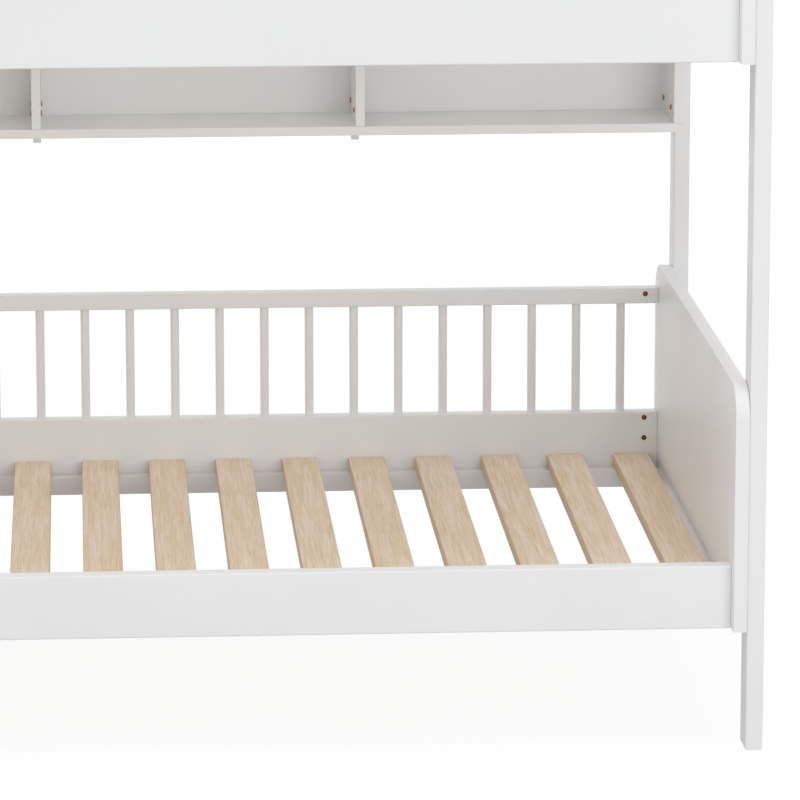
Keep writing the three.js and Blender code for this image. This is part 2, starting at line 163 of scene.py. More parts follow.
class FastenerSettings(bpy.types.PropertyGroup):
    """Barrel nuts, bolts and screws"""

    bronze: colour("Bronze", "Bright bronze of the nuts' rims and the bolt heads", (0.54, 0.32, 0.13))
    # Painted shade: a near-black bronze on the nuts' hollows and the bolts' and screws' key holes, standing
    # in for the shade in these recesses
    painted_shade_bronze: colour("Shade_bronze", "Dark bronze in the recesses", (0.125, 0.052, 0.012))
    roughness: share("Roughness", "Roughness of the bronze", 0.32)
    nut_diameter: length("Nut diameter", "Diameter of the barrel nuts", 8.4 * MM)
    nut_rim: length("Nut rim", "Width of the bright rim at a nut's end", 0.5 * MM)
    nut_hollow: length("Nut hollow", "Depth of the dark hollow in a nut's end", 1.2 * MM)
    nut_dome: length("Nut dome", "Radius of the bright dome in the hollow", 1.5 * MM)
    nut_hole: length("Nut hole", "Diameter of the holes that the barrel nuts sit in", 8.6 * MM)
    nut_hole_depth: length("Nut hole depth", "Depth of the barrel nuts' holes in the guards", 20 * MM)
    nut_from_panel: length("Nut inset", "From the end panel to a barrel nut's axis", 22 * MM)
    upper_bolt_drop: length("Upper bolt drop", "From a rail's top to its upper bolt", 9.2 * MM)
    lower_bolt_drop: length("Lower bolt drop", "From a rail's top to its lower bolt", 43 * MM)
    head_diameter: length("Head diameter", "Diameter of the sunk bolt heads", 11.6 * MM)
    head_height: length("Head height", "Height of the sunk bolt heads", 4.6 * MM)
    head_sink: length("Head sink", "Depth of the hole that a bolt head sits in", 6 * MM)
    key_width: length("Key width", "Width across the flats of the key hole in a bolt head", 5 * MM)
    shelf_nut_rise: length("Shelf nut height", "From the shelf floor to its nuts' axes", 21 * MM)
    shelf_nut_proud: length("Shelf nut overhang", "How far the shelf's nuts stand out", 2 * MM)
    front_nut_inset: length("Front nut inset", "From the shelf's front to its front nuts", 35 * MM)
    back_nut_inset: length("Back nut inset", "From the shelf's front to its back nuts", 136 * MM)
    shelf_bolt_inset: length("Shelf bolt inset", "From the shelf's back to the bolts in the posts", 21 * MM)
    low_shelf_bolt: length("Low shelf bolt", "From the shelf's underside to its lower bolts", 50 * MM)
    high_shelf_bolt: length("High shelf bolt", "From the shelf's underside to its upper bolts", 180 * MM)
    low_stile_bolt: length("Low stile bolt", "From the lower rail's underside to a stile's bolt", 65 * MM)
    mid_stile_bolt: length("Middle stile bolt", "From the upper rail's underside to a stile's bolt", 24 * MM)
    high_stile_bolt: length("High stile bolt", "From the upper rail's underside to the next bolt", 60 * MM)
    top_stile_bolt: length("Top stile bolt", "From a stile's top to the bolt in the guard", 12.5 * MM)
    screw_diameter: length("Screw diameter", "Diameter of the battens' screw heads", 8 * MM)
    screw_height: length("Screw height", "Height of the battens' screw heads", 1.4 * MM)


class TapeSettings(bpy.types.PropertyGroup):
    """Tapes that hold the upper slats at their spacing"""

    tone: colour("Tape", "Colour of the woven tape", (0.72, 0.69, 0.62))
    width: length("Width", "Width of a tape", 25 * MM)
    thickness: length("Thickness", "Thickness of a tape", 1 * MM)
    sag: length("Sag", "How far a tape hangs between two slats", 1.6 * MM)
    from_middle: length("From middle", "From the bed's middle line to a tape", 210 * MM)
    staple_width: length("Staple width", "Width of the staples that hold a tape to the slats", 12 * MM)
    staple_wire: length("Staple wire", "Thickness of the staples' wire", 0.9 * MM)


class StudioSettings(bpy.types.PropertyGroup):
    """Camera, floor and lights"""

    lens: FloatProperty(name="Lens", description="Focal length of the camera", default=226.2, unit="CAMERA")
    camera_place: FloatVectorProperty(
        name="Camera",
        description="Place of the camera",
        default=(0.0645, -7.512, 2.034),
        subtype="TRANSLATION",
    )
    camera_aim: FloatVectorProperty(
        name="Aim",
        description="Direction of the camera's view",
        default=(0.0649, 1.0, -0.2146),
        subtype="XYZ",
    )
    floor_radius: length("Floor radius", "Radius of the floor", 60.0)
    ambient: strength("Ambient", "Strength of the light from all round", 0.545)
    front: strength("Front softbox", "Power in watts of the softbox in front", 93)
    high: strength("High softbox", "Power in watts of the softbox above the front edge", 7)
    left: strength("Left softbox", "Power in watts of the softbox at the left", 56)
    top: strength("Top softbox", "Power in watts of the softbox overhead", 180)
    floor_tone: share("Floor tone", "How much light the floor throws back", 0.66)


class BunkBedSettings(bpy.types.PropertyGroup):
    """Everything that a user would change"""

    paint: PointerProperty(type=PaintSettings)
    wood: PointerProperty(type=WoodSettings)
    guards: PointerProperty(type=GuardSettings)
    fasteners: PointerProperty(type=FastenerSettings)
    tapes: PointerProperty(type=TapeSettings)
    studio: PointerProperty(type=StudioSettings)


# Materials


class Finish:
    """A material under construction, with short names for the nodes that finishes are made of."""

    def __init__(self, name):
        self.material = bpy.data.materials.new(name)
        self.material.use_nodes = True
        self.tree = self.material.node_tree
        self.shader = self.tree.nodes["Principled BSDF"]
        coordinates = self.node("ShaderNodeTexCoord")
        self.place = coordinates.outputs["Object"]
        self.facing = coordinates.outputs["Normal"]

    def node(self, kind, **settings):
        node = self.tree.nodes.new(kind)
        for key, value in settings.items():
            setattr(node, key, value)
        return node

    def link(self, source, target):
        self.tree.links.new(source, target)

    def feed(self, socket, value):
        """Gives an input a number, a colour or another node's output."""
        if isinstance(value, bpy.types.NodeSocket):
            self.link(value, socket)
        elif hasattr(value, "__len__") and len(value) == 3 and socket.type == "RGBA":
            socket.default_value = (*value, 1)
        else:
            socket.default_value = value

    def stretched(self, scale, shift=(0, 0, 0)):
        """The place in the piece, multiplied along each axis."""
        mapping = self.node("ShaderNodeMapping")
        self.feed(mapping.inputs["Vector"], self.place)
        self.feed(mapping.inputs["Scale"], scale)
        self.feed(mapping.inputs["Location"], shift)
        return mapping.outputs["Vector"]

    def noise(self, place, scale, detail=2.0, roughness=0.5, distortion=0.0):
        noise = self.node("ShaderNodeTexNoise")
        self.feed(noise.inputs["Vector"], place)
        self.feed(noise.inputs["Scale"], scale)
        self.feed(noise.inputs["Detail"], detail)
        self.feed(noise.inputs["Roughness"], roughness)
        self.feed(noise.inputs["Distortion"], distortion)
        return noise.outputs["Fac"]

    def spread(self, value, low, high, to_low=0.0, to_high=1.0):
        """Maps a value's range from low to high on another range, smoothly."""
        ranged = self.node("ShaderNodeMapRange", interpolation_type="SMOOTHSTEP")
        inputs = {"Value": value, "From Min": low, "From Max": high, "To Min": to_low, "To Max": to_high}
        for key, number in inputs.items():
            self.feed(ranged.inputs[key], number)
        return ranged.outputs["Result"]

    def mixed(self, factor, first, second):
        """Goes from one colour to another."""
        mix = self.node("ShaderNodeMix", data_type="RGBA")
        inputs = {socket.identifier: socket for socket in mix.inputs}
        self.feed(inputs["Factor_Float"], factor)
        self.feed(inputs["A_Color"], first)
        self.feed(inputs["B_Color"], second)
        return {socket.identifier: socket for socket in mix.outputs}["Result_Color"]

    def maths(self, operation, first, second):
        node = self.node("ShaderNodeMath", operation=operation)
        self.feed(node.inputs[0], first)
        self.feed(node.inputs[1], second)
        return node.outputs["Value"]

    def sideways(self):
        """1 on faces that look along X, and 0 on the others."""
        parts = self.node("ShaderNodeSeparateXYZ")
        self.feed(parts.inputs["Vector"], self.facing)
        return self.spread(self.maths("ABSOLUTE", parts.outputs["X"], 0.0), 0.6, 0.9)

    def bump(self, height, depth, under=None):
        """A relief of a given depth in metres."""
        bump = self.node("ShaderNodeBump")
        self.feed(bump.inputs["Height"], height)
        self.feed(bump.inputs["Distance"], depth)
        self.feed(bump.inputs["Strength"], 1.0)
        if under is not None:
            self.link(under, bump.inputs["Normal"])
        return bump.outputs["Normal"]


def white_paint(settings):
    """Rolled satin paint: broad faint clouds of tone, fine ripples, and a roughness that wanders a little."""
    paint = Finish("satin_white")
    cloud = paint.spread(paint.noise(paint.place, 5.0, detail=3.0), 0.35, 0.65)
    grain = paint.noise(paint.place, 1 / settings.peel, detail=1.0)
    wander = paint.noise(paint.place, 22.0, detail=4.0)
    wander_reach = 0.05
    paint.feed(paint.shader.inputs["Base Color"], paint.mixed(cloud, settings.tone, settings.shade))
    low, high = settings.roughness - wander_reach, settings.roughness + wander_reach
    paint.feed(paint.shader.inputs["Roughness"], paint.spread(wander, 0.3, 0.7, low, high))
    paint.feed(paint.shader.inputs["Normal"], paint.bump(grain, 0.02 * MM))
    return paint.material


def slat_wood(settings):
    """Planed softwood: pale bands, grain lines, flecks and fine pores along the slat, which lies along Y,
    with painted shade on its side faces.
    """
    wood = Finish("planed_softwood")
    band_share, line_share, fleck_share, pore_share, side_shade_share = 0.8, 0.42, 0.35, 0.4, 0.6
    line_relief, fibre_relief = 0.12 * MM, 0.06 * MM
    band_noise = wood.noise(wood.stretched((1, 0.05, 1)), 115.0, detail=3.0, distortion=0.1)
    band = wood.spread(band_noise, 0.42, 0.6)
    line_noise = wood.noise(wood.stretched((1, 0.016, 1)), 560.0, detail=3.0, roughness=0.65)
    line = wood.spread(line_noise, 0.47, 0.66)
    fleck_noise = wood.noise(wood.stretched((1, 0.035, 1), (0.3, 0.7, 0.1)), 330.0, detail=1.0)
    fleck = wood.spread(fleck_noise, 0.57, 0.7)
    fibre = wood.noise(wood.stretched((1, 0.03, 1), (0.9, 0.2, 0.5)), 1300.0, detail=2.0)
    pore = wood.spread(fibre, 0.58, 0.76)
    tone = wood.mixed(wood.maths("MULTIPLY", band, band_share), settings.tone, settings.pale)
    tone = wood.mixed(wood.maths("MULTIPLY", line, line_share), tone, settings.dark)
    tone = wood.mixed(wood.maths("MULTIPLY", fleck, fleck_share), tone, settings.dark)
    tone = wood.mixed(wood.maths("MULTIPLY", pore, pore_share), tone, settings.pore)
    # Painted shade: faces that look along X take the darker side tone
    tone = wood.mixed(wood.maths("MULTIPLY", wood.sideways(), side_shade_share), tone, settings.sawn)
    wood.feed(wood.shader.inputs["Base Color"], tone)
    low, high = settings.roughness - 0.08, settings.roughness + 0.1
    wood.feed(wood.shader.inputs["Roughness"], wood.spread(line_noise, 0.3, 0.7, low, high))
    relief = wood.bump(line_noise, line_relief)
    wood.feed(wood.shader.inputs["Normal"], wood.bump(fibre, fibre_relief, under=relief))
    return wood.material


def bronze(name, tone, roughness):
    """Bronzed steel with faint mottling and a fine grain."""
    metal = Finish(name)
    mottle = metal.noise(metal.place, 700.0, detail=3.0)
    deeper = [0.72 * part for part in tone]
    metal.feed(metal.shader.inputs["Base Color"], metal.mixed(metal.spread(mottle, 0.35, 0.7), tone, deeper))
    metal.feed(metal.shader.inputs["Metallic"], 1.0)
    low, high = roughness - 0.06, roughness + 0.1
    metal.feed(metal.shader.inputs["Roughness"], metal.spread(mottle, 0.3, 0.7, low, high))
    metal.feed(metal.shader.inputs["Normal"], metal.bump(metal.noise(metal.place, 2500.0), 0.01 * MM))
    return metal.material


def woven_tape(settings):
    """Plain weave of light tape: ribs across and along, with painted shade between the threads that a little
    fuzz breaks up.
    """
    tape = Finish("woven_tape")
    rib_width = 1.2 * MM
    waves = []
    for axis in ("X", "Y"):
        wave = tape.node("ShaderNodeTexWave", bands_direction=axis, wave_profile="SIN")
        tape.feed(wave.inputs["Vector"], tape.place)
        tape.feed(wave.inputs["Scale"], 1 / rib_width / 20 * math.pi)
        waves.append(wave.outputs["Fac"])
    weave = tape.maths("MULTIPLY", waves[0], waves[1])
    fuzz = tape.noise(tape.place, 900.0, detail=3.0)
    # Painted shade: the weave, broken up by fuzz, darkens the tape towards a deeper copy of its colour
    darker = [0.7 * part for part in settings.tone]
    shadow = tape.maths("MULTIPLY", weave, fuzz)
    tape.feed(tape.shader.inputs["Base Color"], tape.mixed(shadow, settings.tone, darker))
    tape.feed(tape.shader.inputs["Roughness"], 0.85)
    tape.feed(tape.shader.inputs["Normal"], tape.bump(weave, 0.25 * MM))
    return tape.material


def material(name, make, *arguments):
    """The material of that name, made on first use."""
    return bpy.data.materials.get(name) or make(*arguments)


def paint_coat(settings):
    return material("satin_white", white_paint, settings.paint)


def fastener_metals(fasteners):
    """The metals in the order of their numbers, BRIGHT and DARK; DARK is the near-black bronze that paints
    shade into recesses.
    """
    return [
        material("bronze", bronze, "bronze", fasteners.bronze, fasteners.roughness),
        material("painted_shade_bronze", bronze, "painted_shade_bronze", fasteners.painted_shade_bronze, fasteners.roughness),
    ]


def clad(obj, finish):
    obj.data.materials.clear()
    obj.data.materials.append(finish)


# Mesh work


def smooth_all(mesh):
    mesh.polygons.foreach_set("use_smooth", [True] * len(mesh.polygons))


def round_edges(obj, radius):
    """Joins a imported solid's facets to whole faces and rounds the sharp edges, as sanding does."""
    weld = obj.modifiers.new("join_facets", "WELD")
    weld.merge_threshold = WELD_REACH
    flat = obj.modifiers.new("whole_faces", "DECIMATE")
    flat.decimate_type = "DISSOLVE"
    flat.angle_limit = FLAT_ANGLE
    rounding = obj.modifiers.new("sanded_edges", "BEVEL")
    rounding.limit_method = "ANGLE"
    rounding.angle_limit = EDGE_ANGLE
    rounding.width = radius
    rounding.segments = 2
    obj.modifiers.new("even_shading", "WEIGHTED_NORMAL")
    smooth_all(obj.data)


def new_piece(name, bm, materials, stands_for=()):
    """Makes a mesh into a piece of the bed."""
    mesh = bpy.data.meshes.new(name)
    for each in materials:
        mesh.materials.append(each)
    bmesh.ops.recalc_face_normals(bm, faces=bm.faces)
    bm.to_mesh(mesh)
    bm.free()
    obj = bpy.data.objects.new(name, mesh)
    bpy.context.scene.collection.objects.link(obj)
    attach(obj, BODY)
    if stands_for:
        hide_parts(*stands_for)
    return obj


def drill(obj, holes):
    """Cuts round holes in a piece; holes lists (mouth, direction inwards, diameter, depth)."""
    bm = bmesh.new()
    for mouth, inward, diameter, depth in holes:
        foot = Vector(mouth) - Vector(inward) * DRILL_OVERSHOOT
        profile = [(0, diameter / 2), (depth + DRILL_OVERSHOOT, diameter / 2)]
        add_turned(bm, foot, inward, profile, DRILL_SIDES)
    bmesh.ops.recalc_face_normals(bm, faces=bm.faces)
    mesh = bpy.data.meshes.new("drill")
    bm.to_mesh(mesh)
    bm.free()
    cutter = bpy.data.objects.new("drill", mesh)
    bpy.context.scene.collection.objects.link(cutter)
    cut = obj.modifiers.new("holes", "BOOLEAN")
    cut.object = cutter
    cut.solver = "EXACT"
    whole = obj.evaluated_get(bpy.context.evaluated_depsgraph_get())
    cut_mesh = bpy.data.meshes.new_from_object(whole)
    obj.modifiers.remove(cut)
    obj.data = cut_mesh
    bpy.data.objects.remove(cutter)


def add_board(bm, low, high, ease, end_ease):
    """A board along X with rounded long edges and slightly eased ends."""
    made = bmesh.ops.create_cube(bm, size=1)["verts"]
    size, middle = high - low, (high + low) / 2
    bmesh.ops.transform(bm, matrix=Matrix.Translation(middle) @ Matrix.Diagonal((*size, 1)), verts=made)
    edges = {edge for vert in made for edge in vert.link_edges}
    long_edges = [e for e in edges if abs(e.verts[0].co.x - e.verts[1].co.x) > size.x / 2]
    bmesh.ops.bevel(bm, geom=long_edges, offset=ease, segments=4, profile=0.5, affect="EDGES")
    rims = [e for e in bm.edges if e.is_valid and all(at_end(v.co.x, low.x, high.x) for v in e.verts)]
    bmesh.ops.bevel(bm, geom=rims, offset=end_ease, segments=2, profile=0.5, affect="EDGES")


def at_end(x, low, high):
    return min(abs(x - low), abs(x - high)) < SAME_PLACE


def round_ring(radius):
    return lambda angle: radius


def hexagon_ring(across_flats):
    """The reach of a hexagon at an angle."""
    sector = math.pi / 3
    return lambda angle: across_flats / 2 / math.cos((angle + sector / 2) % sector - sector / 2)


def add_turned(bm, foot, axis, profile, sides, material_from=()):
    """A turned piece: rings of (distance along the axis, reach), closed at both ends.
    material_from lists (ring number, material number): faces from that ring on take that material."""
    axis = Vector(axis).normalized()
    turn = axis.to_track_quat("Z", "Y").to_matrix()
    rings = []
    for distance, reach in profile:
        outline = reach if callable(reach) else round_ring(reach)
        ring = []
        for step in range(sides):
            angle = 2 * math.pi * step / sides
            radius = outline(angle)
            local = Vector((radius * math.cos(angle), radius * math.sin(angle), distance))
            ring.append(bm.verts.new(Vector(foot) + turn @ local))
        rings.append(ring)
    number = 0
    changes = dict(material_from)
    faces = [bm.faces.new(list(reversed(rings[0])))]
    for index, (lower, upper) in enumerate(zip(rings, rings[1:])):
        number = changes.get(index, number)
        for step in range(sides):
            after = (step + 1) % sides
            face = bm.faces.new((lower[step], lower[after], upper[after], upper[step]))
            face.material_index = number
            faces.append(face)
    last = bm.faces.new(rings[-1])
    last.material_index = number
    faces.append(last)
    return faces


def shade(obj):
    """Smooth shading, with sharper edges kept crisp."""
    smooth_all(obj.data)
    obj.data.set_sharp_from_angle(angle=CRISP_ANGLE)
    obj.modifiers.new("even_shading", "WEIGHTED_NORMAL").keep_sharp = True


# Places


def middle_of(node):
    low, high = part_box(node)
    return (low + high) / 2


def row_of(node):
    """FRONT or BACK."""
    return FRONT if middle_of(node).y < 0 else BACK


def bed_rise():
    """How far the upper bed is above the lower one."""
    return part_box("upper_front_rail")[0].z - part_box("lower_front_rail")[0].z


def panel_face():
    """How far the end panels' inner faces are from the bed's middle."""
    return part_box("lower_end_panel_right")[0].x


# Pieces


class BUNKBED_OT_paint_boards(bpy.types.Operator):
    """Paint the posts, panels, rails, ledgers, shelf and ladder, and round their edges"""

    bl_idname = "bunkbed.paint_boards"
    bl_label = "Paint the Boards"

    def execute(self, context):
        settings = context.scene.bunk_bed
        coat = paint_coat(settings)
        for name, obj in NODES.items():
            if SLOT_OF[name] == "white_paint" and name not in GUARDS:
                clad(obj, coat)
                round_edges(obj, settings.paint.edge_round)
        return {"FINISHED"}


class BUNKBED_OT_make_guards(bpy.types.Operator):
    """Make the guards: a rail with rounded edges on turned spindles"""

    bl_idname = "bunkbed.make_guards"
    bl_label = "Make the Guards"

    def execute(self, context):
        for name in GUARDS:
            self.make_guard(context.scene.bunk_bed, name)
        return {"FINISHED"}

    def make_guard(self, settings, name):
        guard = settings.guards
        coat = paint_coat(settings)
        low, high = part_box(name)
        rail_low = Vector((low.x, low.y, high.z - guard.rail_height))
        bm = bmesh.new()
        add_board(bm, rail_low, high, guard.rail_ease, RAIL_END_EASE)
        rail = new_piece(f"{name}_rail", bm, [coat], [name])
        nuts = settings.fasteners
        holes = [
            (place, (0, row, 0), nuts.nut_hole, nuts.nut_hole_depth) for place, row in guard_nuts(nuts, name)
        ]
        drill(rail, holes)
        shade(rail)
        radius = guard.spindle_diameter / 2
        rim_radius = radius - SPINDLE_RIM
        height = rail_low.z + GLUE_DEPTH - low.z
        profile = [
            (0, rim_radius),
            (SPINDLE_RIM, radius),
            (height - SPINDLE_RIM, radius),
            (height, rim_radius),
        ]
        bm = bmesh.new()
        for x in self.spindle_places(guard, name):
            add_turned(bm, (x, (low.y + high.y) / 2, low.z), (0, 0, 1), profile, guard.turning_sides)
        shade(new_piece(f"{name}_spindles", bm, [coat], [name]))

    def spindle_places(self, guard, name):
        """Evenly spread along the bed; the front guard's begin where the way up ends."""
        reach = panel_face() - guard.spindle_end_margin
        pitch = 2 * reach / (guard.spindle_count - 1)
        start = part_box(name)[0].x
        if name == "upper_front_guard":
            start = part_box("ladder_stile_right")[1].x + pitch / 2
        places = [index * pitch - reach for index in range(guard.spindle_count)]
        return [x for x in places if x > start]


class BUNKBED_OT_dress_slats(bpy.types.Operator):
    """Give the slats bare wood, and lay the upper bed's slats out as the lower ones"""

    bl_idname = "bunkbed.dress_slats"
    bl_label = "Dress the Slats"

    def execute(self, context):
        settings = context.scene.bunk_bed.wood
        wood = material("planed_softwood", slat_wood, settings)
        rise = bed_rise()
        for name in LOWER_SLATS:
            lower = NODES[name]
            clad(lower, wood)
            mesh = lower.data.copy()
            mesh.transform(Matrix.Translation((0, 0, rise)))
            upper = bpy.data.objects.new(name.replace("lower", "upper"), mesh)
            context.scene.collection.objects.link(upper)
            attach(upper, BODY)
            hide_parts("upper_slat_set")
            for obj in (lower, upper):
                round_edges(obj, settings.edge_round)
        return {"FINISHED"}


class BUNKBED_OT_lay_tapes(bpy.types.Operator):
    """Lay the two woven tapes under the upper slats"""

    bl_idname = "bunkbed.lay_tapes"
    bl_label = "Lay the Tapes"

    def execute(self, context):
        tapes = context.scene.bunk_bed.tapes
        cloth = material("woven_tape", woven_tape, tapes)
        rise = bed_rise()
        slats = [(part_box(name)[0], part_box(name)[1]) for name in LOWER_SLATS]
        for row, side in ((FRONT, "front"), (BACK, "back")):
            bm = bmesh.new()
            self.add_tape(bm, tapes, slats, row * tapes.from_middle, rise)
            shade(new_piece(f"slat_tape_{side}", bm, [cloth], ["upper_slat_set"]))
        metals = fastener_metals(context.scene.bunk_bed.fasteners)
        bm = bmesh.new()
        for low, high in slats:
            for row in (FRONT, BACK):
                under = (low.z + rise) - tapes.thickness
                self.add_staple(bm, tapes, Vector(((low.x + high.x) / 2, row * tapes.from_middle, under)))
        shade(new_piece("tape_staples", bm, metals))
        return {"FINISHED"}

    def add_staple(self, bm, tapes, place):
        """The back of a staple, a short wire across the tape; its legs are out of sight in the wood."""
        wire = tapes.staple_wire
        back = Matrix.Translation(place - Vector((0, 0, wire / 2)))
        size = Matrix.Diagonal((wire, tapes.staple_width, wire, 1))
        made = bmesh.ops.create_cube(bm, size=1, matrix=back @ size)["verts"]
        edges = {edge for vert in made for edge in vert.link_edges}
        bmesh.ops.bevel(bm, geom=list(edges), offset=wire / 4, segments=2, profile=0.5, affect="EDGES")

    def add_tape(self, bm, tapes, slats, y, rise):
        """A strip that lies against the slats' undersides and hangs a little between them."""
        steps = 6
        top = slats[0][0].z + rise
        route = []
        for (low, high), following in zip(slats, slats[1:] + [None]):
            route += [(low.x, 0), (high.x, 0)]
            if following:
                gap = following[0].x - high.x
                for step in range(1, steps):
                    along = step / steps
                    drop = tapes.sag * math.sin(math.pi * along) ** 2
                    route.append((high.x + gap * along, drop))
        middle_first = (slats[0][0].x + slats[0][1].x) / 2
        middle_last = (slats[-1][0].x + slats[-1][1].x) / 2
        route = [(max(middle_first, min(middle_last, x)), drop) for x, drop in route]
        rows = []
        for x, drop in route:
            corners = [(-1, 0), (1, 0), (1, -tapes.thickness), (-1, -tapes.thickness)]
            rows.append([bm.verts.new((x, y + s * tapes.width / 2, top - drop + z)) for s, z in corners])
        for before, after in zip(rows, rows[1:]):
            for index in range(4):
                following = (index + 1) % 4
                bm.faces.new((before[index], before[following], after[following], after[index]))
        bm.faces.new(rows[0])
        bm.faces.new(reversed(rows[-1]))


class BUNKBED_OT_fit_nuts(bpy.types.Operator):
    """Fit the barrel nuts in the rails, the guards and the shelf's uprights"""

    bl_idname = "bunkbed.fit_nuts"
    bl_label = "Fit the Barrel Nuts"

    def execute(self, context):
        settings = context.scene.bunk_bed.fasteners
        metals = fastener_metals(settings)
        bm = bmesh.new()
        for place, row in self.rail_nuts(settings):
            add_nut(bm, settings, place, (0, -row, 0))
        shade(new_piece("barrel_nuts_rails", bm, metals))
        bm = bmesh.new()
        for place, side in self.shelf_nuts(settings):
            add_nut(bm, settings, place, (side, 0, 0))
        shade(new_piece("barrel_nuts_shelf", bm, metals))
        return {"FINISHED"}

    def rail_nuts(self, settings):
        """Where the nuts' ends lie flush with the rails' and guards' inner faces."""
        found = []
        x = panel_face() - settings.nut_from_panel
        for name in RAILS:
            low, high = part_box(name)
            row = row_of(name)
            face = low.y if row == BACK else high.y
            for end in (LEFT, RIGHT):
                for drop in (settings.upper_bolt_drop, settings.lower_bolt_drop):
                    found.append((Vector((end * x, face, high.z - drop)), row))
        for name in GUARDS:
            found += guard_nuts(settings, name)
        return found

    def shelf_nuts(self, settings):
        """The ends of the nuts that go right through the uprights; on the shelf's ends they are sunk."""
        shelf_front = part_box("shelf_floor")[0].y
        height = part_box("shelf_floor")[1].z + settings.shelf_nut_rise
        shelf_ends = (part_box("shelf_end_left")[0].x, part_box("shelf_end_right")[1].x)
        found = []
        for name in SHELF_UPRIGHTS:
            low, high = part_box(name)
            for inset in (settings.front_nut_inset, settings.back_nut_inset):
                for side, x in ((LEFT, low.x), (RIGHT, high.x)):
                    proud = -NUT_SINK if x in shelf_ends else settings.shelf_nut_proud
                    found.append((Vector((x + side * proud, shelf_front + inset, height)), side))
        return found


def guard_nuts(settings, name):
    """Where a guard's nuts come out of its top rail's inner face, and the guard's row."""
    low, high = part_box(name)
    row = row_of(name)
    face = low.y if row == BACK else high.y
    x = panel_face() - settings.nut_from_panel
    ends = (RIGHT,) if name == "upper_front_guard" else (LEFT, RIGHT)
    return [(Vector((end * x, face, high.z - settings.upper_bolt_drop)), row) for end in ends]


def add_nut(bm, settings, place, outward):
    """A barrel nut, seen at its end: a bright rim, a hollow in near-black bronze as painted shade, and a
    small bright dome in it.
    """
    radius = settings.nut_diameter / 2
    chamfer = settings.nut_rim / 2
    hollow = -settings.nut_hollow
    dome = settings.nut_dome
    profile = [
        (-NUT_DEPTH, radius),
        (-chamfer, radius),
        (0, radius - chamfer),
        (0, radius - settings.nut_rim),
        (hollow / 2, radius - settings.nut_rim - chamfer / 2),
        (hollow, radius - settings.nut_rim - chamfer),
        (hollow, dome),
        (hollow / 2, 0.92 * dome),
        (hollow / 4, 0.7 * dome),
        (hollow / 8, 0.3 * dome),
    ]
    # The hollow's faces take DARK, painted shade; the dome takes the bright bronze again
    add_turned(bm, place, outward, profile, NUT_SIDES, [(3, DARK), (6, BRIGHT)])


class BUNKBED_OT_fit_bolts(bpy.types.Operator):
    """Fit the bolts whose heads are sunk in the posts, the ladder and the shelf"""

    bl_idname = "bunkbed.fit_bolts"
    bl_label = "Fit the Bolts"

    def execute(self, context):
        settings = context.scene.bunk_bed.fasteners
        metals = fastener_metals(settings)
        groups = {
            "corner_bolts": self.corner_bolts(settings),
            "shelf_bolts": self.shelf_bolts(settings),
            "ladder_bolts": self.ladder_bolts(settings),
        }
        for name, bolts in groups.items():
            bm = bmesh.new()
            for face, outward in bolts:
                add_bolt_head(bm, settings, face, Vector(outward))
            shade(new_piece(name, bm, metals))
        bm = bmesh.new()
        for face in self.batten_screws(settings):
            add_screw_head(bm, settings, face, Vector((0, 1, 0)))
        shade(new_piece("batten_screws", bm, metals))
        return {"FINISHED"}

    def batten_screws(self, settings):
        """Two screws into the shelf's uprights and two into the upper rail, in each batten's back."""
        shelf_low, shelf_high = (corner.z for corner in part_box("shelf_back"))
        rail_low, rail_high = (corner.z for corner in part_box("upper_back_rail"))
        found = []
        for name in SHELF_BATTENS:
            low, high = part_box(name)
            x = (low.x + high.x) / 2
            for bottom, top in ((shelf_low, shelf_high), (rail_low, min(rail_high, high.z))):
                for up in (0.2, 0.8):
                    found.append((x, high.y, bottom + (top - bottom) * up))
        return found

    def corner_bolts(self, settings):
        found = []
        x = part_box("post_front_right")[1].x
        for name in RAILS + GUARDS:
            low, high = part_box(name)
            drops = [settings.upper_bolt_drop]
            if name in RAILS:
                drops.append(settings.lower_bolt_drop)
            ends = (RIGHT,) if name == "upper_front_guard" else (LEFT, RIGHT)
            for end in ends:
                for drop in drops:
                    found.append(((end * x, (low.y + high.y) / 2, high.z - drop), (end, 0, 0)))
        return found

    def shelf_bolts(self, settings):
        low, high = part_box("shelf_floor")
        found = []
        for name in SHELF_UPRIGHTS:
            x = middle_of(name).x
            for inset in (settings.front_nut_inset, settings.back_nut_inset):
                found.append(((x, low.y + inset, low.z), (0, 0, -1)))
        post_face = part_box("post_front_right")[1].x
        for end in (LEFT, RIGHT):
            for rise in (settings.low_shelf_bolt, settings.high_shelf_bolt):
                face = (end * post_face, high.y - settings.shelf_bolt_inset, low.z + rise)
                found.append((face, (end, 0, 0)))
        return found

    def ladder_bolts(self, settings):
        found = []
        for name, outward in (("ladder_stile_left", LEFT), ("ladder_stile_right", RIGHT)):
            low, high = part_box(name)
            x = (low.x + high.x) / 2
            lower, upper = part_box("lower_front_rail")[0].z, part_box("upper_front_rail")[0].z
            heights = [
                lower + settings.low_stile_bolt,
                upper + settings.mid_stile_bolt,
                upper + settings.high_stile_bolt,
            ]
            if outward == RIGHT:
                heights.append(high.z - settings.top_stile_bolt)
            found += [((x, low.y, z), (0, -1, 0)) for z in heights]
            side = high.x if outward == RIGHT else low.x
            for rung in RUNGS:
                found.append(((side, (low.y + high.y) / 2, middle_of(rung).z), (outward, 0, 0)))
        return found


